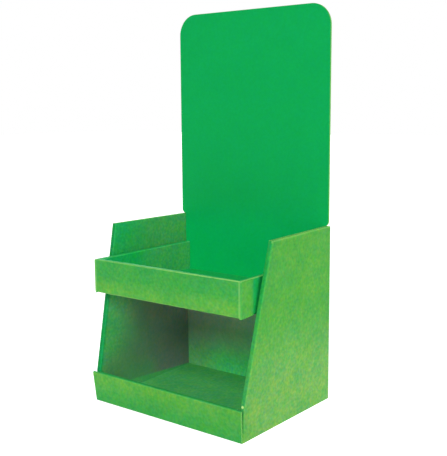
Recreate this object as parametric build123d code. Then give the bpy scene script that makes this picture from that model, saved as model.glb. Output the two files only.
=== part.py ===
from build123d import *
import os

# A two-tier counter display stand folded from printed corrugated board. Four folded pieces make it:
# a body shell (back panel and two hollow side walls), a base tray whose front lip rolls over and leans
# forward in front of the walls' feet, a shelf tray that hangs in slots of the walls, and a header card
# whose tongue slides down in front of the back panel and stands on the shelf behind the shelf tray's walls.
# Millimetres. The stand faces -Y, +Z is up, and the origin lies on the counter under its middle.

os.makedirs("parts", exist_ok=True)

# Board and folds
board = 3.0              # thickness of the corrugated board
double_wall = 8.0        # outside thickness of a rolled wall: two boards and the gap between them
fold_radius = 2.4        # outside radius of a folded edge
slip_fit = 0.4           # play between pieces that slide or stand against each other
seam = 0.5               # open joint where two edges of the same sheet meet
overrun = 5.0            # how far a cut runs past the face that it opens

# Body shell
body_width = 300.0       # over the side walls, at the back
body_depth = 230.0       # from the back panel to the foot of the front lip
wall_height = 280.0      # height of the side walls and the back panel
wall_setback = 54.0      # how far the sloping front edge of a wall runs back at its top
wall_flare = 7.5         # how far the free top front corner of each wall leans out
wall_pinch = 5.5         # how far the foot of each wall is drawn in at the front

# Base tray
lip_height = 49.0        # front lip, and the upright foot of the walls' front edge behind it
lip_lean = 4.5           # how far the top of the lip leans forward

# Shelf tray
tray_play = 0.8          # play between the back ends of its side walls and the stand's walls
tray_taper = 1.0         # how much further out each side wall stands at the front, as the stand's walls do
tray_bottom = 178.0      # underside of the shelf above the counter
tray_rim = 53.0          # height of its rim
tray_inset = 2.0         # its front face lies this far behind the foot of the base lip
flap_length = 29.0       # end flaps of its front, folded back and glued over the side walls
flap_step = 0.8          # how far they stand out from the side walls, which are crushed under them
flap_drop = 0.8          # how far the foot of a flap hangs below the shelf at its fold
flap_relief = 1.0        # how far the top of a flap stays below the rim
tab_length = 34.0        # each hanging tab, along the wall
tab_hook = 1.0           # how far a tab reaches past the inner board of the wall
tab_margin = 26.0        # from the wall's front edge or the tongue to the nearest tab

# Header card
header_rise = 341.0      # from the top of the walls to the top of the card
header_margin = 1.0      # how far its edges stay inside the outer faces of the walls
header_corner = 34.0     # radius of its top corners
shoulder_corner = 8.0    # radius of its lower corners, where it steps in to the tongue

# Places that follow from the sizes above
half_body = body_width / 2
half_tray_rear = half_body - double_wall - tray_play
half_tray_front = half_tray_rear + tray_taper
half_front = half_tray_front + flap_step
half_header = half_body - header_margin
y_back = (body_depth + lip_lean) / 2
y_foot = y_back - body_depth
y_wall_front = y_foot + board + slip_fit
y_panel = y_back - board
y_tongue_back = y_panel - slip_fit
y_tongue_front = y_tongue_back - board
y_tray_front = y_foot + tray_inset
y_flap_rear = y_tray_front + flap_length
y_tray_rear = y_tongue_front - slip_fit
z_shelf = tray_bottom + board
tray_top = tray_bottom + tray_rim
half_tongue = half_body - double_wall - slip_fit


def wall_front(z):
    """Where the front edge of a side wall stands at height z: upright behind the lip, then sloping back."""
    rise = max(z - lip_height, 0)
    return y_wall_front + wall_setback * rise / (wall_height - lip_height)


def wall_face(y, z):
    """How far the outer face of a side wall is from the middle, at depth y and height z."""
    edge_shift = (wall_pinch + wall_flare) * z / wall_height - wall_pinch
    forward_share = (y_back - y) / (y_back - wall_front(z))
    return half_body + edge_shift * forward_share


def block(x_low, x_high, y_low, y_high, z_low, z_high):
    """A box given by its limits."""
    size = Box(x_high - x_low, y_high - y_low, z_high - z_low, align=(Align.MIN, Align.MIN, Align.MIN))
    return Pos(x_low, y_low, z_low) * size


def wall_layer(outer_inset, inner_inset, front_inset, back_inset, z_low, z_high):
    """A layer of the right wall between two insets from its outer face, as a loft of level slices."""
    heights = [z_low, lip_height, z_high] if z_low < lip_height else [z_low, z_high]
    slices = []
    for z in heights:
        front = wall_front(z) + front_inset
        rear = y_back - back_inset
        outline = Polyline(
            (wall_face(rear, z) - outer_inset, rear),
            (wall_face(front, z) - outer_inset, front),
            (wall_face(front, z) - inner_inset, front),
            (wall_face(rear, z) - inner_inset, rear),
            close=True,
        )
        slices.append(Pos(0, 0, z) * make_face(outline))
    return loft(slices, ruled=True)


def tab_spans():
    """Front and rear limits along Y of the two hanging tabs at each side of the shelf tray."""
    first = wall_front(tray_bottom) + tab_margin
    last = y_tray_rear - tab_margin
    return [(first, first + tab_length), (last - tab_length, last)]


def is_wall_fold(edge):
    """True for the slab edges that are folds: both front edges, the outer top edge, the back corner."""
    middle = edge.center()
    outer = middle.X > wall_face(middle.Y, middle.Z) - board
    upright = edge.bounding_box().size.Z > fold_radius
    at_front = abs(middle.Y - wall_front(middle.Z)) < seam
    at_top = middle.Z > wall_height - seam
    at_back = middle.Y > y_back - seam
    along_wall = edge.bounding_box().size.Y > double_wall
    return (upright and (at_front or (outer and at_back))) or (at_top and outer and along_wall)


def right_wall():
    """Outer board, rolled front edge, top flap and inner board of the right wall, open at the foot."""
    slab = wall_layer(0, double_wall, 0, 0, 0, wall_height)
    wall = fillet(slab.edges().filter_by(is_wall_fold), fold_radius)

    inner_side = double_wall - board
    wall -= wall_layer(board, inner_side, board, board, -overrun, wall_height - board)

    # The top flap is hinged on the outer board. Open joints part it from the inner board and the front roll.
    top_cut = wall_height - board
    above = wall_height + overrun
    wall -= wall_layer(inner_side - seam, inner_side, board, board, top_cut, above)
    flap_front = wall_front(wall_height) + board
    outside = wall_face(flap_front, wall_height) + overrun
    wall -= block(outside - overrun - inner_side, outside, flap_front, flap_front + seam, top_cut, above)

    # The inner board ends just short of the back panel, and two slots in it take the shelf tray's tabs.
    inside = half_body - double_wall - overrun
    wall -= block(inside, half_body - board, y_panel - seam, y_panel, -overrun, above)
    for front, rear in tab_spans():
        far_side = wall_face(rear + slip_fit, tray_bottom) - board
        wall -= block(
            inside, far_side,
            front - slip_fit, rear + slip_fit,
            tray_bottom, tray_bottom + board + slip_fit,
        )
    return wall


def make_body_shell():
    """Back panel and two hollow side walls, one folded sheet."""
    wall = right_wall()
    panel = block(board - half_body, half_body - board, y_panel, y_back, 0, wall_height)
    return wall + mirror(wall, about=Plane.YZ) + panel


def leaning_block(half_low, half_high, front_inset, rear_inset, z_low, z_high):
    """A block between two insets from the lip's front face that leans forward with the lip."""
    slices = []
    for half, z in ((half_low, z_low), (half_high, z_high)):
        face = y_foot - lip_lean * z / lip_height
        outline = Polyline(
            (-half, face + front_inset),
            (half, face + front_inset),
            (half, face + rear_inset),
            (-half, face + rear_inset),
            close=True,
        )
        slices.append(Pos(0, 0, z) * make_face(outline))
    return loft(slices, ruled=True)


def is_lip_fold(edge):
    """True for the long edges of the lip that are folds: its foot, and both sides of its rolled top."""
    middle = edge.center()
    across = edge.bounding_box().size.X > body_width / 2
    at_foot = middle.Z < seam and middle.Y < y_foot + seam
    at_top = middle.Z > lip_height - seam
    return across and (at_foot or at_top)


def make_base_tray():
    """Floor and rolled front lip. The lip's outer board stands in front of the walls' feet."""
    half_foot = wall_face(y_wall_front, 0)
    half_lip_top = wall_face(y_wall_front, lip_height)
    half_between = half_foot - double_wall - slip_fit
    roll = leaning_block(half_between, half_between, 0, double_wall, 0, lip_height)
    outer = leaning_block(half_foot, half_lip_top, 0, board, 0, lip_height)
    roll_hollow = leaning_block(
        half_body, half_body,
        board, double_wall - board,
        board, lip_height - board,
    )
    lip = roll + outer
    lip = fillet(lip.edges().filter_by(is_lip_fold), fold_radius) - roll_hollow

    floor_front = y_wall_front
    floor_rear = y_panel - slip_fit
    half_rear = half_body - double_wall - slip_fit
    outline = Polyline(
        (-half_between, floor_front),
        (half_between, floor_front),
        (half_rear, floor_rear),
        (-half_rear, floor_rear),
        close=True,
    )
    return lip + extrude(make_face(outline), board)


def tray_side(y):
    """How far the outer face of the shelf tray's side wall is from the middle at depth y."""
    forward_share = (y_tray_rear - y) / (y_tray_rear - y_tray_front)
    return half_tray_rear + tray_taper * forward_share


def tray_layer(inset, y_low, y_high, z_low, z_high):
    """A level layer between two depths whose sides follow the tray's side walls at an inset."""
    outline = Polyline(
        (inset - tray_side(y_low), y_low),
        (tray_side(y_low) - inset, y_low),
        (tray_side(y_high) - inset, y_high),
        (inset - tray_side(y_high), y_high),
        close=True,
    )
    return extrude(Pos(0, 0, z_low) * make_face(outline), z_high - z_low)


def is_tray_fold(edge):
    """True for the shelf tray's folded edges: its bottom edges and its rolled rim, but not its open rear."""
    middle = edge.center()
    at_rear = middle.Y > y_tray_rear - seam
    at_bottom = middle.Z < tray_bottom + seam
    at_rim = middle.Z > tray_top - seam
    return not at_rear and (at_bottom or at_rim)


def is_flap_fold(edge):
    """True for the upright outer edge where an end flap folds back from the tray's front."""
    middle = edge.center()
    return middle.X > half_front - seam and middle.Y < y_tray_front + seam


def right_flap():
    """The right end flap of the tray's front: its foot rises from the fold to its free rear end."""
    outline = Polyline(
        (y_tray_front, tray_bottom - flap_drop),
        (y_flap_rear, tray_bottom),
        (y_flap_rear, tray_top - flap_relief),
        (y_tray_front, tray_top - flap_relief),
        close=True,
    )
    plate = extrude(Plane.YZ.offset(half_front - board) * make_face(outline), board)
    return fillet(plate.edges().filter_by(is_flap_fold), fold_radius)


def make_shelf_tray():
    """Floor, rolled front lip with end flaps and rolled side walls, open at the back, with hanging tabs."""
    y_inside = y_tray_front + double_wall
    shell = tray_layer(0, y_tray_front, y_tray_rear, tray_bottom, tray_top)
    shell -= tray_layer(double_wall, y_inside, y_tray_rear + overrun, z_shelf, tray_top + overrun)
    tray = fillet(shell.edges().filter_by(is_tray_fold), fold_radius)
    flap = right_flap()
    tray += flap + mirror(flap, about=Plane.YZ)

    # Behind the side walls the floor runs on to the back panel, under the header card's tongue.
    half_ledge = half_tray_rear - double_wall
    tray += block(-half_ledge, half_ledge, y_tray_rear, y_panel - slip_fit, tray_bottom, z_shelf)

    # The gap between the two boards of the rim runs round three sides and shows at the rear ends.
    gap = tray_layer(board, y_tray_front + board, y_tray_rear + overrun, z_shelf, tray_top - board)
    inner_side = double_wall - board
    gap -= tray_layer(inner_side, y_inside - board, y_tray_rear + overrun, z_shelf, tray_top - board)
    tray -= gap

    # Each side roll butts against the front roll with an open joint across the rim.
    joint = block(
        half_tray_rear - double_wall - overrun, half_front - board,
        y_inside, y_inside + seam,
        tray_top - board, tray_top + overrun,
    )
    tray -= joint + mirror(joint, about=Plane.YZ)

    for front, rear in tab_spans():
        tab_end = wall_face(rear, tray_bottom) - double_wall + board + tab_hook
        tab = block(half_tray_rear - board, tab_end, front, rear, tray_bottom, z_shelf)
        tray += tab + mirror(tab, about=Plane.YZ)
    return tray


def make_header_card():
    """The tall card with rounded corners, and the tongue that carries it down to the shelf."""
    card = Pos(0, wall_height + header_rise / 2) * Rectangle(2 * half_header, header_rise)
    top_corners = card.vertices().group_by(Axis.Y)[-1]
    card = fillet(top_corners, header_corner)
    low_corners = card.vertices().group_by(Axis.Y)[0]
    card = fillet(low_corners, shoulder_corner)
    tongue_height = wall_height + shoulder_corner - z_shelf
    tongue = Pos(0, z_shelf + tongue_height / 2) * Rectangle(2 * half_tongue, tongue_height)
    upright = Plane(origin=(0, y_tongue_back, 0), x_dir=(1, 0, 0), z_dir=(0, -1, 0))
    return extrude(upright * (card + tongue), board)


pieces = {
    "body_shell": make_body_shell(),
    "base_tray": make_base_tray(),
    "shelf_tray": make_shelf_tray(),
    "header_card": make_header_card(),
}
for name, piece in pieces.items():
    solids = piece.solids()
    solid = solids[0] if len(solids) == 1 else piece
    export_step(solid, f"parts/{name}.step")
    size = piece.bounding_box().size
    print(f"{name}: {len(solids)} solid, {size.X:.1f} x {size.Y:.1f} x {size.Z:.1f} mm, {piece.volume:.0f} mm3")
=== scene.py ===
# %% [markdown]
# # A two-tier counter display of printed board
# The stand is folded from four sheets of corrugated board that are printed green: a body shell with
# hollow side walls, a base tray with a rolled front lip, a shelf tray that hangs between the walls, and a
# tall header card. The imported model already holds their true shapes, so nothing is modelled here. This
# lesson frames the sheets as the photograph does, gives each one the finish of printed board, and lights
# them.

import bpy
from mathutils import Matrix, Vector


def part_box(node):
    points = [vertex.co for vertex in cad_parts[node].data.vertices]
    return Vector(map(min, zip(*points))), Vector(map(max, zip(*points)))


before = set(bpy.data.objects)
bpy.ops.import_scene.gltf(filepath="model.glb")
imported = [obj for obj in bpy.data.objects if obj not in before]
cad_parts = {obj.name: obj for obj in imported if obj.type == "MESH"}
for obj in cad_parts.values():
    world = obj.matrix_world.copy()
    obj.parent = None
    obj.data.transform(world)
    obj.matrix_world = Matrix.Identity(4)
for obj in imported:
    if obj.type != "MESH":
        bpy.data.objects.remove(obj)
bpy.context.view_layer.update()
print("sheets:", sorted(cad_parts))

# %% Libraries and units
import math

import bmesh
import bpy
from mathutils import Euler, Vector

mm = 0.001
scene = bpy.context.scene
scene.view_settings.view_transform = "Standard"
print("colours are shown as", scene.view_settings.view_transform)

# %% [markdown]
# ## Camera
# The photograph looks down a little on the stand from its front right corner. A camera can be aimed at a
# point by a constraint, but it is easier to match by the way that it faces: a heading round the stand, a
# tilt, a small roll, and then its distance. The picture's own centre lies a few pixels off the lens axis,
# and the camera's shift takes that up.

# %% Place the camera
picture_width = 447
picture_height = 456
focal_pixels = 794.83         # focal length, counted in the picture's pixels
centre_column = 227.2         # where the lens axis meets the picture
centre_row = 226.2
sensor = 36.0
heading = math.radians(37.41)
tilt = math.radians(8.31)
roll = math.radians(-0.34)
camera_spot = Vector((768.1, -957.8, 460.5)) * mm

camera_data = bpy.data.cameras.new("camera")
camera_data.sensor_width = sensor
camera_data.lens = sensor * focal_pixels / picture_height
camera_data.shift_x = (picture_width / 2 - centre_column) / picture_height
camera_data.shift_y = (centre_row - picture_height / 2) / picture_height
camera = bpy.data.objects.new("camera", camera_data)
turn = Euler((math.pi / 2 - tilt, 0, heading)).to_matrix() @ Euler((0, 0, roll)).to_matrix()
camera.matrix_world = turn.to_4x4()
camera.location = camera_spot
scene.collection.objects.link(camera)
scene.camera = camera
print(f"lens {camera_data.lens:.1f} mm, shift {camera_data.shift_x:.4f}, {camera_data.shift_y:.4f}")

# %% [markdown]
# ## Shader maths in plain Python
# A finish is a graph of nodes, and a graph made call by call is hard to read. `Wire` wraps one socket and
# overloads the arithmetic operators, so that an expression such as `1 - mask * 0.4` adds its Math nodes
# by itself. `Finish` is one material: its `node` method makes any other node from a type, its settings
# and the values or links of its sockets.


# %% Wires that add their own Math nodes
class Wire:
    """One output socket that Python arithmetic can be done on."""

    def __init__(self, finish, socket):
        self.finish = finish
        self.socket = socket

    def maths(self, operation, *values, clamp=False):
        settings = {"operation": operation, "use_clamp": clamp}
        return self.finish.node("ShaderNodeMath", settings, dict(enumerate(values)))

    def __add__(self, other):
        return self.maths("ADD", self, other)

    def __radd__(self, other):
        return self.maths("ADD", other, self)

    def __sub__(self, other):
        return self.maths("SUBTRACT", self, other)

    def __rsub__(self, other):
        return self.maths("SUBTRACT", other, self)

    def __mul__(self, other):
        return self.maths("MULTIPLY", self, other)

    def __rmul__(self, other):
        return self.maths("MULTIPLY", other, self)

    def __truediv__(self, other):
        return self.maths("DIVIDE", self, other)

    def __abs__(self):
        return self.maths("ABSOLUTE", self)

    def at_least(self, floor):
        return self.maths("MAXIMUM", self, floor)

    def at_most(self, ceiling):
        return self.maths("MINIMUM", self, ceiling)

    def above(self, edge):
        """1 where this is more than edge, and 0 elsewhere."""
        return self.maths("GREATER_THAN", self, edge)

    def below(self, edge):
        """1 where this is less than edge, and 0 elsewhere."""
        return self.maths("LESS_THAN", self, edge)

    def fade(self, start, end):
        """A smooth step from 0 at start to 1 at end."""
        settings = {"interpolation_type": "SMOOTHSTEP"}
        limits = {"From Min": start, "From Max": end, "To Min": 0.0, "To Max": 1.0}
        if start > end:
            limits = {"From Min": end, "From Max": start, "To Min": 1.0, "To Max": 0.0}
        return self.finish.node("ShaderNodeMapRange", settings, {"Value": self, **limits})


# %% A material that is built from wires
def ink(red, green, blue):
    """A screen colour, each part 0 to 255, as the linear colour that a shader takes."""
    parts = [value / 255 for value in (red, green, blue)]
    linear = [p / 12.92 if p <= 0.04045 else ((p + 0.055) / 1.055) ** 2.4 for p in parts]
    return (*linear, 1.0)


class Finish:
    """One node material with a Principled surface, and the colour and relief that it has so far."""

    def __init__(self, name, colour=(1.0, 1.0, 1.0, 1.0)):
        self.material = bpy.data.materials.new(name)
        self.material.use_nodes = True
        self.tree = self.material.node_tree
        self.surface = self.tree.nodes["Principled BSDF"]
        self.place = self.node("ShaderNodeTexCoord", {}, {}, "Object")
        facing = self.node("ShaderNodeTexCoord", {}, {}, "Normal")
        self.x, self.y, self.z = self.split(self.place)
        self.facing_x, self.facing_y, self.facing_z = self.split(facing)
        self.colour = colour
        self.height = 0.0             # millimetres
        self.bare = 0.0               # 1 where the paper has no ink

    def node(self, kind, settings, sockets, output=0):
        made = self.tree.nodes.new(kind)
        for name, value in settings.items():
            setattr(made, name, value)
        for name, value in sockets.items():
            if isinstance(value, Wire):
                self.tree.links.new(value.socket, made.inputs[name])
            else:
                made.inputs[name].default_value = value
        return Wire(self, made.outputs[output])

    def split(self, vector):
        parts = self.tree.nodes.new("ShaderNodeSeparateXYZ")
        self.tree.links.new(vector.socket, parts.inputs[0])
        return [Wire(self, socket) for socket in parts.outputs]

    def noise(self, size, detail=2.0, roughness=0.5, seed=0.0):
        """Soft spots of about that size in metres, from 0 to 1."""
        settings = {"noise_dimensions": "4D"}
        grain = {"Scale": 1 / size, "Detail": detail, "Roughness": roughness}
        return self.node("ShaderNodeTexNoise", settings, {"Vector": self.place, "W": seed, **grain})

    def blend(self, share, first, second):
        """The first colour where share is 0, and the second where it is 1."""
        settings = {"data_type": "RGBA", "blend_type": "MIX"}
        return self.node("ShaderNodeMix", settings, {0: share, 6: first, 7: second}, 2)

    def times(self, first, second):
        """Two colours multiplied part by part."""
        settings = {"data_type": "RGBA", "blend_type": "MULTIPLY"}
        return self.node("ShaderNodeMix", settings, {0: 1.0, 6: first, 7: second}, 2)

    def cover(self, share, colour):
        """Lays a colour over what the sheet has so far, where share is 1."""
        self.colour = self.blend(share, self.colour, colour)

    def done(self, roughness):
        """Wires the colour, the roughness and the relief into the surface."""
        self.tree.links.new(self.colour.socket, self.surface.inputs["Base Color"])
        self.tree.links.new(roughness.socket, self.surface.inputs["Roughness"])
        bump = self.node("ShaderNodeBump", {}, {"Height": self.height, "Distance": mm, "Strength": 1.0})
        self.tree.links.new(bump.socket, self.surface.inputs["Normal"])
        return self.material


# %% [markdown]
# ## Printed board
# All four sheets are corrugated board that is printed green. The ink isn't even: it is mottled, it is
# yellower on the outside of the stand, and inside it is deeper near the front edges. Further back in the
# lower compartment it is greyer and duller, as painted shade, and a few places carry painted light and
# painted highlights. Where the board is folded the ink stretches and the paper shows through as a light
# line, which is partly a painted highlight, and a cut edge shows bare board with its flutes. A painted
# picture on unfolded sheets could hold all this too. Here it is worked out from the place of a point in the
# stand and the way that its surface faces, so it needs no picture and no unwrapping, and it holds from
# every side.

# %% Sizes read from the imported model
card_low, card_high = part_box("header_card")
shell_low, shell_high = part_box("body_shell")
shelf_low, shelf_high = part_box("shelf_tray")
base_low, base_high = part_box("base_tray")
board = card_high.y - card_low.y
wall_height = shell_high.z
lip_height = base_high.z
shell_points = [vertex.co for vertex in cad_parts["body_shell"].data.vertices]
top_front = min(point.y for point in shell_points if point.z > wall_height - mm)
wall_slope = (top_front - shell_low.y) / (wall_height - lip_height)
print(f"board {board / mm:.1f} mm, walls {wall_height / mm:.0f} mm high, slope {wall_slope:.3f}")

# %% The inks of the outside and the edges
outside_ink = ink(81, 171, 64)        # outside of the walls
floor_bounce_ink = ink(114, 183, 89)       # the same ink, lighter near the counter: painted light reflected from the pale floor
cool_front_ink = ink(62, 163, 71)     # fronts of the lip and of the shelf tray
warm_front_ink = ink(91, 173, 68)     # the same, yellower along the top of the lip and the foot of the tray
deep_ink = ink(22, 172, 86)           # deeper green: the shelf tray's tops and the rear of its sides, and the walls' inside near the front
low_spine_ink = ink(58, 156, 74)      # rolled front edge of the right wall, near the counter
high_spine_ink = ink(34, 158, 70)     # and further up
shaded_left_spine_ink = ink(10, 140, 68)     # rolled front edge of the left wall, darker than the right one: painted shade
rim_ink = ink(48, 168, 80)            # rolled top of the base lip
card_ink = ink(10, 164, 81)           # header card
card_foot_light_ink = ink(4, 178, 92)       # its foot, brighter: painted light in the shade of the shelf tray
top_highlight_ink = ink(126, 206, 98)           # tops of the walls, lighter: a painted highlight where they face up
fold_and_highlight_ink = ink(152, 216, 116)         # stretched over a fold, and lighter as a painted highlight
liner_paper = ink(142, 222, 118)      # bare paper at a cut edge
flute_shadow = ink(106, 190, 88)      # between the flutes at a cut edge
glint_ink = ink(196, 236, 140)         # a painted highlight, near white
print("outside ink as the shader sees it:", [round(part, 3) for part in outside_ink[:3]])

# %% The inks of the inside
inside_ink = ink(84, 184, 102)        # inside of the walls and of both trays
bright_ink = ink(40, 188, 98)         # inside of the walls near the front, above the shelf
tray_front_ink = ink(34, 206, 106)    # inside of the shelf tray's side walls near the front
tray_inside_ink = ink(88, 200, 118)   # and further back
dim_shade_ink = ink(106, 150, 113)         # inside of the lower walls, further in: painted shade, darker and duller
grey_shade_ink = ink(140, 144, 143)        # the same, greyer at the back: painted shade
shaded_ink = ink(192, 180, 190)       # the same, paler grey under the shelf: painted shade
lit_band_ink = ink(99, 197, 121)          # the same, lighter in a band along the floor: painted light below a shadow line
panel_ink = ink(86, 216, 121)         # inside of the back panel
corner_ink = ink(103, 187, 118)       # the same, towards its corners
shaded_panel_ink = ink(196, 200, 194)  # the same, greyer and darker at the left: painted shade
lighter_panel_ink = ink(174, 234, 192)  # and at the right, lighter: painted shade, weaker there
white = (1.0, 1.0, 1.0, 1.0)
shelf_bounce_tint = (2.1, 1.3, 1.7, 1.0)     # how much the print is lightened by painted bounce light in the shade of the shelf
print("inside ink as the shader sees it:", [round(part, 3) for part in inside_ink[:3]])


# %% Mottle
def mottle(finish, seed, strength=1.0):
    """Uneven ink, in spots that are warmer or cooler, greyer or purer, and lighter or darker."""
    kinds = (                         # size of the spots, step of the seed, change of each part
        (5 * mm, 0.0, (0.20, 0.03, -0.16)),
        (6.5 * mm, 2.0, (0.17, 0.00, 0.14)),
        (4 * mm, 4.0, (0.08, 0.08, 0.08)),
        (24 * mm, 6.0, (0.14, 0.03, -0.08)),
        (60 * mm, 8.0, (0.08, 0.03, 0.06)),
    )
    for size, step, change in kinds:
        spots = finish.noise(size, 1.0, 0.5, seed + step).fade(0.3, 0.7)
        less = (*(1 - part * strength for part in change), 1.0)
        more = (*(1 + part * strength for part in change), 1.0)
        finish.colour = finish.times(finish.colour, finish.blend(spots, less, more))


# %% Folds and their painted highlights
def fold_and_highlight_lines(finish, share, seed):
    """The light, slightly broken line along a rounded fold: partly stretched ink, partly a painted
    highlight.
    """
    across = abs(finish.facing_x * finish.facing_y)
    over = abs(finish.facing_y * finish.facing_z)
    along = abs(finish.facing_z * finish.facing_x)
    rounded = (across + over + along).fade(0.22, 0.42)
    broken = finish.noise(7 * mm, 2.0, 0.6, seed).fade(0.25, 0.6) * 0.45 + 0.55
    finish.cover(rounded * broken * share, fold_and_highlight_ink)


# %% Cut edges
flute_pitch = 6.5 * mm
print(f"flutes {flute_pitch / mm:.1f} mm apart")


def cut_edge(finish, share, through, along):
    """Bare board where share is 1. Through runs from 0 to 1 between its faces, along follows the edge."""
    turn = along * (2 * math.pi / flute_pitch)
    wave = turn.maths("SINE", turn) * 0.3 + 0.5
    fluted = abs(through - wave).fade(0.17, 0.09)
    liner = abs(through - 0.5).fade(0.34, 0.4)
    paper = fluted.maths("MAXIMUM", fluted, liner)
    finish.cover(share, finish.blend(paper, flute_shadow, liner_paper))
    finish.height = finish.height + (paper - 1) * share * 0.3
    finish.bare = finish.bare + share


# %% Relief and gloss
flute_relief = 0.012                  # millimetres, as are the next two
fibre_relief = 0.03
dent_depth = 0.4
satin_roughness = 0.5
print(f"flutes {flute_relief} mm proud, fibres {fibre_relief} mm, dents {dent_depth} mm deep")


def surface_relief(finish, ribs, seed):
    """Paper fibres, the flutes that show faintly through the liner, and shallow dents, in millimetres."""
    turn = ribs * (2 * math.pi / flute_pitch)
    washboard = turn.maths("SINE", turn) * flute_relief
    fibres = finish.noise(0.7 * mm, 3.0, 0.6, seed + 11) * fibre_relief
    dents = finish.noise(34 * mm, 2.0, 0.5, seed + 13) * dent_depth
    finish.height = finish.height + washboard + fibres + dents


def paint(name, finish, specular):
    """Finishes a material and gives it to a sheet, with the slot that the sheet takes its finish from."""
    satin = satin_roughness + finish.noise(6 * mm, 2.0, 0.5, 90.0) * 0.16
    roughness = satin + finish.bare * 0.3
    finish.surface.inputs["Specular IOR Level"].default_value = specular
    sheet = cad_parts[name]
    sheet.data.materials.clear()
    sheet.data.materials.append(finish.done(roughness))
    print(f"{name}: {len(finish.tree.nodes)} nodes")


# %% [markdown]
# ## Body shell
# One sheet makes the back panel and both hollow walls, so the same print covers it inside and out. Its
# faces could be picked by hand and given a material each, but that leaves a hard border wherever two of
# them meet. Here the outward faces are told from the inward ones by comparing the side that a point lies
# on with the way that it faces, and the distance behind the sloping front edge tells how far in it lies.
# Masks made of these can fade softly from one ink to the next.

# %% Body shell: where a point lies
print_gloss = 0.12
shell = Finish("printed_board_shell", outside_ink)
side = shell.x.maths("SIGN", shell.x)
outward = side * shell.facing_x
slope_line = (shell.z - lip_height).at_least(0.0) * wall_slope + shell_low.y
depth = shell.y - slope_line
above_shelf = shell.z.above(shelf_low.z)
panel_depth = 40 * mm          # only the back panel faces the front this far behind the front edge
on_panel = shell.facing_y.below(-0.5) * depth.above(panel_depth)
print(f"front edge from y {shell_low.y / mm:.1f} mm back to {top_front / mm:.1f} mm at the top")

# %% Body shell: the print outside and inside
# Outside, the walls are lighter near the counter, as painted light reflected from the pale floor, least on
# the front edge itself.
bounce_share = depth.fade(2 * mm, 35 * mm) * 0.3 + 0.7
floor_bounce = shell.z.fade(180 * mm, 60 * mm) * outward.fade(0.5, 0.9) * bounce_share
outside = shell.blend(floor_bounce, outside_ink, floor_bounce_ink)

# Inside there is a deeper green along the front edge, then plain print, which starts further in above the
# shelf.
low_reach = 9 * mm
more_above_shelf = 98 * mm
plain_reach = above_shelf * more_above_shelf + low_reach
front_inside = shell.blend(above_shelf, deep_ink, bright_ink)
inside = shell.blend((depth / plain_reach).fade(0.1, 1.0), front_inside, inside_ink)
panel = shell.blend(abs(shell.x).fade(60 * mm, 120 * mm), panel_ink, corner_ink)
high_reach = low_reach + more_above_shelf
print(f"thick ink ends {low_reach / mm:.0f} mm in, and {high_reach / mm:.0f} mm in above the shelf")

# %% Body shell: lay the print on its faces
right_spine = shell.blend(shell.z.fade(240 * mm, 120 * mm), high_spine_ink, low_spine_ink)
shell.cover(1.0, shell.blend(shell.x.above(0.0), shaded_left_spine_ink, right_spine))
near_edge = depth.fade(14 * mm, 2 * mm) * shell.z.fade(100 * mm, 230 * mm) * 0.3
shell.cover(outward.fade(0.2, 0.95) * (1 - near_edge), outside)
shell.cover((0 - outward).fade(0.5, 0.95), inside)
shell.cover(shell.facing_y.fade(0.35, 0.9), outside_ink)
# Painted highlight: every face of the shell that faces up is lighter.
shell.cover(shell.facing_z.fade(0.35, 0.9), top_highlight_ink)
shell.cover(on_panel, panel)
mottle(shell, 1.0)
print(f"plain print of the shell: {len(shell.tree.nodes)} nodes")

# %% [markdown]
# ## Painted shade and light in the lower compartment
# Painted shade lies over the print at the back of the lower compartment and turns its green towards grey,
# on the back panel most at the left. Along the floor a band of the walls is lighter, as painted light below
# a shadow line. High up, in the shade of the shelf, the print is lightened as painted bounce light. All
# this could be painted on a picture of the unfolded sheet. Here each of them is a few fades in height and
# depth, which need no picture and can be changed one at a time.

# %% Body shell: painted shade on the walls
lower_inside = (0 - outward).fade(0.5, 0.95) * (1 - above_shelf)
deep_shade = shell.blend(shell.z.fade(50 * mm, 125 * mm), grey_shade_ink, shaded_ink)
shell.cover(lower_inside * depth.fade(10 * mm, 100 * mm), dim_shade_ink)
shell.cover(lower_inside * depth.fade(80 * mm, 190 * mm), deep_shade)
# Low down near the front the walls are darker too: painted shade.
low_front = shell.z.fade(85 * mm, 50 * mm) * depth.fade(4 * mm, 14 * mm)
low_front = low_front * depth.fade(90 * mm, 40 * mm)
shell.cover(lower_inside * low_front * 0.4, dim_shade_ink)
print(f"with dust on the walls: {len(shell.tree.nodes)} nodes")

# %% Body shell: the painted lit band along the floor
band_rise = 0.077              # millimetres higher for each millimetre towards the front
band_front = -60 * mm          # where it ends
# Painted light: below a line that rises towards the front, the walls are lighter.
lit_band = (shell_high.y - shell.y) * band_rise + board - shell.z
near_lit_band = lit_band.fade(-45 * mm, 0.0) * shell.y.fade(-80 * mm, -40 * mm)
near_lit_band = near_lit_band * shell.y.fade(40 * mm, 0.0)
shell.cover(lower_inside * near_lit_band * 0.4, lit_band_ink)
shell.cover(lower_inside * lit_band.fade(-2 * mm, 1.5 * mm) * shell.y.above(band_front), lit_band_ink)
band_height = (shell_high.y - band_front) * band_rise + board
print(f"the band is {band_height / mm:.0f} mm high at its front end")

# %% Body shell: painted shade on the back panel
panel_shade = shell.blend(shell.x.fade(-110 * mm, 100 * mm), shaded_panel_ink, lighter_panel_ink)
shell.cover(on_panel * (1 - above_shelf) * shell.z.fade(20 * mm, 100 * mm), panel_shade)
print(f"with dust on the back panel: {len(shell.tree.nodes)} nodes")

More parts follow.
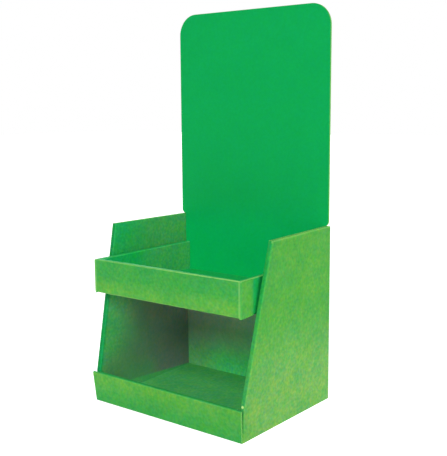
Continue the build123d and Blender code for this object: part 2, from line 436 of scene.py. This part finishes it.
# %% Body shell: painted bounce light in the shade of the shelf
# The painted bounce light reaches lower towards the back, is weaker at the front, and ends before the back
# panel.
shade_slope = 0.36
shade_line = shell.z + shell.y * shade_slope
shade_depth = shell.y.fade(-100 * mm, -15 * mm) * 0.6 + 0.4 - shell.y.fade(-15 * mm, 55 * mm) * 0.85
under_shelf = shade_line.fade(90 * mm, 132 * mm) * shade_depth
shelf_bounce = shell.blend(lower_inside * under_shelf, white, shelf_bounce_tint)
shell.colour = shell.times(shell.colour, shelf_bounce)
mottle(shell, 11.0, 0.5)
print(f"with the shade: {len(shell.tree.nodes)} nodes")

# %% Body shell: a painted highlight and the top folds
# A painted highlight: a small bright spot on the front edge of the right wall, where the lip's corner meets
# it.
glint_spot = Vector((143.5, -108.7, 52.5)) * mm
glint_sockets = {0: shell.place, 1: glint_spot}
glint = shell.node("ShaderNodeVectorMath", {"operation": "DISTANCE"}, glint_sockets, "Value")
shell.cover(glint.fade(2.6 * mm, 1.2 * mm), glint_ink)
top_fold = shell.z.above(wall_height - board) * outward.above(0.05)
# The light line along the top folds fades towards the back: partly a painted highlight.
fold_and_highlight_lines(shell, top_fold * depth.fade(210 * mm, 20 * mm) * 0.3, 3.0)
print("rub mark at", [round(part / mm, 1) for part in glint_spot], "mm")

# %% Body shell: cut edges on top
# The back panel's edge lies bare, and so do the inner boards', whose place follows the flare of the walls.
half_body = 150 * mm
double_wall = 8 * mm
flare = 7.5 * mm
on_top = shell.facing_z.above(0.9) * shell.z.above(wall_height - mm)
behind = shell.y.above(shell_high.y - board)
cut_edge(shell, on_top * behind, (shell_high.y - shell.y) / board, shell.x)
wall_run = (shell_high.y - shell.y) / (shell_high.y - top_front)
from_face = wall_run * flare + half_body - abs(shell.x)
in_board = from_face.above(double_wall - board) * (1 - behind)
cut_edge(shell, on_top * in_board, (double_wall - from_face) / board, shell.y)
print(f"tops of the walls: {half_body / mm:.0f} mm off the middle, {flare / mm:.1f} mm more at the front")

# %% Body shell: relief, and onto the sheet
on_side = abs(shell.facing_x).above(0.5)
surface_relief(shell, shell.x + (shell.y - shell.x) * on_side, 1.0)
paint("body_shell", shell, print_gloss)

# %% [markdown]
# ## Base tray
# Its lip is the first thing that a hand meets. The front is plain print, a little yellower towards its top.
# The rolled top is a deeper green, and both ends of its outer board are cut edges that stand free in front
# of the walls. The lip could be parted from the floor to get a material of its own. It stays one sheet, as
# the real tray is, and its faces are told apart by the way that they face.

# %% Base tray: the print
lip_reach = 16 * mm            # the whole lip lies within this of the front
base = Finish("printed_board_base", inside_ink)
on_lip = base.y.below(base_low.y + lip_reach)
lip_front = base.blend(base.z.fade(6 * mm, 46 * mm), cool_front_ink, warm_front_ink)
base.cover(on_lip * base.facing_y.fade(-0.35, -0.8), lip_front)
base.cover(on_lip * base.facing_z.fade(0.3, 0.8), rim_ink)
base.cover(on_lip * base.facing_y.fade(0.4, 0.8), rim_ink)
mottle(base, 21.0)
fold_and_highlight_lines(base, base.z.above(lip_height - 3 * mm) * base.facing_y.below(-0.1) * 0.12, 23.0)
print(f"lip {lip_height / mm:.1f} mm high")

# %% Base tray: the free ends of the lip, relief, and onto the sheet
lip_lean = 4.5 * mm
lip_end_side = 141 * mm        # past here only the free ends of its outer board face sideways
front_line = base_low.y + lip_lean * (1 - base.z / lip_height)
lip_end = abs(base.facing_x).above(0.9) * on_lip * abs(base.x).above(lip_end_side)
cut_edge(base, lip_end, (base.y - front_line) / board, base.z)
upright = abs(base.facing_y).above(0.5)
surface_relief(base, base.y + (base.z - base.y) * upright, 21.0)
paint("base_tray", base, print_gloss)

# %% [markdown]
# ## Shelf tray
# Its rim catches the light: the outer fold of the front is a crisp light line that runs on along the sides
# and fades towards the back, partly stretched ink and partly a painted highlight. The end flaps are folded
# back from the front and glued over the side walls, and behind them the sides turn deep green, as painted
# shade. A light line runs down the front just before each corner, partly a scored fold and partly a painted
# highlight. The line of a fold could be a thin strip of its own. Here it comes from the rounding in the
# model: a point that faces between two main directions lies on a fold, and there the ink is stretched and
# the line is painted lighter.

# %% Shelf tray: the print
shelf = Finish("printed_board_shelf", inside_ink)
shelf_side = shelf.x.maths("SIGN", shelf.x) * shelf.facing_x
# Behind the end flaps the tray's sides turn deep green: painted shade near the walls.
side_and_shade_ink = shelf.blend(shelf.y.fade(-89 * mm, -77 * mm), outside_ink, deep_ink)
tray_inside = shelf.blend(shelf.y.fade(-35 * mm, 30 * mm), tray_front_ink, tray_inside_ink)
down_front = shelf.z.fade(shelf_high.z - 20 * mm, shelf_low.z + 8 * mm)
tray_front = shelf.blend(down_front, cool_front_ink, warm_front_ink)
at_front = shelf.y.below(shelf_low.y + board)
shelf.cover(shelf.facing_z.fade(0.4, 0.9), deep_ink)
shelf.cover(shelf_side.fade(0.2, 0.8), side_and_shade_ink)
shelf.cover((0 - shelf_side).fade(0.4, 0.9), tray_inside)
shelf.cover(at_front * shelf.facing_y.fade(-0.35, -0.8), tray_front)
mottle(shelf, 41.0)
print(f"front of the tray from z {shelf_low.z / mm:.1f} to {shelf_high.z / mm:.1f} mm")

# %% Shelf tray: folds along the rim and the foot
at_rim = shelf.z.above(shelf_high.z - board)
rim_light = at_rim * (abs(shelf.facing_x).above(0.1) + shelf.facing_y.below(-0.1)).at_most(1.0)
rim_light = rim_light * (1 - (0 - shelf_side).above(0.1) * 0.6)
# The rim's light line is in part a painted highlight: brighter to the right and fading towards the back.
highlight_to_right = shelf.x.fade(-140 * mm, 140 * mm) * 0.35 + 0.5
rim_highlight_fade = (shelf.y.fade(-10 * mm, -100 * mm) * 0.75 + 0.12) * highlight_to_right
foot_share = shelf.x.fade(80 * mm, 0.0) * 0.35 + 0.25
foot_light = at_front * shelf.z.below(shelf_low.z + 5 * mm) * foot_share
fold_and_highlight_lines(shelf, (rim_light * rim_highlight_fade + foot_light).at_most(1.0), 43.0)
print(f"with the folds: {len(shelf.tree.nodes)} nodes")

# %% Shelf tray: a light line before each front corner, partly a scored fold and partly a painted highlight
# The rounding of the corner itself is plain print, so that the light line just before it, partly a scored
# fold and partly a painted highlight, is the only light line there.
half_front = 143.1 * mm
to_corner = half_front - abs(shelf.x)
crease_and_highlight = to_corner.fade(0.6 * mm, 2.6 * mm) * to_corner.fade(5.6 * mm, 3.2 * mm)
crease_and_highlight = crease_and_highlight * shelf.facing_y.below(-0.5)
shelf.cover(at_front * crease_and_highlight * 0.42, fold_and_highlight_ink)
rounding = abs(shelf.facing_x).above(0.15) * shelf.facing_y.below(-0.15)
rounding = rounding * shelf.z.below(shelf_high.z - 2 * mm)
shelf.cover(at_front * rounding * 0.5, cool_front_ink)
print(f"corners {half_front / mm:.1f} mm off the middle")

# %% Shelf tray: cut edges of the flaps, relief, and onto the sheet
flap_inside = 140 * mm
flap_edge_side = 141.7 * mm    # past here there are only the flaps
through_flap = (abs(shelf.x) - flap_inside) / board
on_flap_edge = abs(shelf.x).above(flap_edge_side) * shelf.z.below(shelf_high.z - 0.5 * mm)
flap_top = on_flap_edge * shelf.facing_z.above(0.9)
cut_edge(shelf, flap_top, through_flap, shelf.y)
flap_end = on_flap_edge * shelf.facing_y.above(0.9) * shelf.y.below(0.0)
cut_edge(shelf, flap_end, through_flap, shelf.z)
shelf_front = abs(shelf.facing_y).above(0.5)
surface_relief(shelf, shelf.y + (shelf.z - shelf.y) * shelf_front, 41.0)
paint("shelf_tray", shelf, print_gloss)

# %% [markdown]
# ## Header card
# The tall card is left plain green. It is printed more evenly than the rest, in a purer green, and a cut
# edge with upright flutes runs all the way round it. That edge could be picked and given a second
# material. Here the card asks which way its surface faces, so the edge is found on the round corners too.

# %% Header card
card_gloss = 0.05
card = Finish("printed_board_card")
# Painted light: the card's foot is brighter where it stands in the shade of the shelf tray.
card.colour = card.blend(card.z.fade(330 * mm, 240 * mm), card_ink, card_foot_light_ink)
mottle(card, 61.0, 0.35)
card_edge = abs(card.facing_y).below(0.5)
upright_cut = abs(card.facing_x).above(0.75)
cut_edge(card, card_edge, (card.y - card_low.y) / board, card.x * (1 - upright_cut))
surface_relief(card, card.x, 61.0)
paint("header_card", card, card_gloss)

# %% [markdown]
# ## Floor and surroundings
# The stand was photographed on white. More light would turn the floor white too, but it would bleach the
# stand. So the floor is pale and takes a soft shadow, and it is given a little light of its own that only
# the camera and reflections see. The world is treated alike: they see it white, and to everything else it
# is a low even light.

# %% Floor
floor_reach = 12.0
floor_grey = 0.88
floor_glow = 0.7
floor_mesh = bpy.data.meshes.new("floor")
form = bmesh.new()
bmesh.ops.create_grid(form, x_segments=1, y_segments=1, size=floor_reach)
form.to_mesh(floor_mesh)
form.free()
floor = bpy.data.objects.new("floor", floor_mesh)
scene.collection.objects.link(floor)
print(f"floor {2 * floor_reach:.0f} m wide")

# %% Floor paper
paper = Finish("white_floor")
paper.surface.inputs["Base Color"].default_value = (floor_grey, floor_grey, floor_grey, 1)
paper.surface.inputs["Roughness"].default_value = 0.9
paper.surface.inputs["Specular IOR Level"].default_value = 0.0
paper.surface.inputs["Emission Color"].default_value = (1, 1, 1, 1)
rays = [paper.node("ShaderNodeLightPath", {}, {}, name)
        for name in ("Is Camera Ray", "Is Glossy Ray", "Is Transmission Ray")]
seen = (rays[0] + rays[1]).maths("ADD", rays[0] + rays[1], rays[2], clamp=True)
paper.tree.links.new((seen * floor_glow).socket, paper.surface.inputs["Emission Strength"])
floor_mesh.materials.append(paper.material)
print(f"floor paper: {len(paper.tree.nodes)} nodes")

# %% World
world_light = 0.22
world = bpy.data.worlds.new("studio")
scene.world = world
world.use_nodes = True
world_tree = world.node_tree
background = world_tree.nodes["Background"]
background.inputs["Color"].default_value = (1, 1, 1, 1)
path = world_tree.nodes.new("ShaderNodeLightPath")
level = world_tree.nodes.new("ShaderNodeMapRange")
level.inputs["To Min"].default_value = world_light
level.inputs["To Max"].default_value = 1.0
either = world_tree.nodes.new("ShaderNodeMath")
either.operation = "MAXIMUM"
world_tree.links.new(path.outputs["Is Camera Ray"], either.inputs[0])
world_tree.links.new(path.outputs["Is Glossy Ray"], either.inputs[1])
world_tree.links.new(either.outputs[0], level.inputs["Value"])
world_tree.links.new(level.outputs[0], background.inputs["Strength"])
print("even light from all sides:", world_light)

# %% [markdown]
# ## Lamps
# In the photograph soft light falls on the stand from its front right. Large area lamps could give it, but
# their light weakens with distance. A sun lamp with a wide angle is as soft, and equally strong everywhere.
# A weaker one behind keeps the back readable from other sides, and one soft box low at the right brightens
# the right wall, as the photograph shows it.


# %% Kinds of lamp
def sun(name, azimuth, elevation, softness, strength):
    """A distant lamp that shines from an azimuth, counted to the right from the stand's front."""
    lamp = bpy.data.lights.new(name, "SUN")
    lamp.angle = math.radians(softness)
    lamp.energy = strength
    lamp_object = bpy.data.objects.new(name, lamp)
    lamp_object.rotation_euler = (math.radians(90 - elevation), 0, math.radians(azimuth))
    scene.collection.objects.link(lamp_object)
    print(f"{name}: a sun from {azimuth} degrees, {elevation} up, strength {strength}")


def softbox(name, spot, aim, size, power):
    """A square area lamp at a spot that faces an aim, both in metres."""
    lamp = bpy.data.lights.new(name, "AREA")
    lamp.shape = "SQUARE"
    lamp.size = size
    lamp.energy = power
    lamp_object = bpy.data.objects.new(name, lamp)
    lamp_object.location = spot
    lamp_object.rotation_euler = (Vector(aim) - Vector(spot)).to_track_quat("-Z", "Y").to_euler()
    scene.collection.objects.link(lamp_object)
    print(f"{name}: a soft box of {size} m and {power} W")


# %% Place the lamps
sun("key", azimuth=20, elevation=35, softness=25, strength=2.18)
sun("rear", azimuth=-140, elevation=35, softness=25, strength=1.3)
softbox("side", spot=(1.3, -0.25, 0.25), aim=(0.15, 0.0, 0.15), size=0.8, power=5.8)
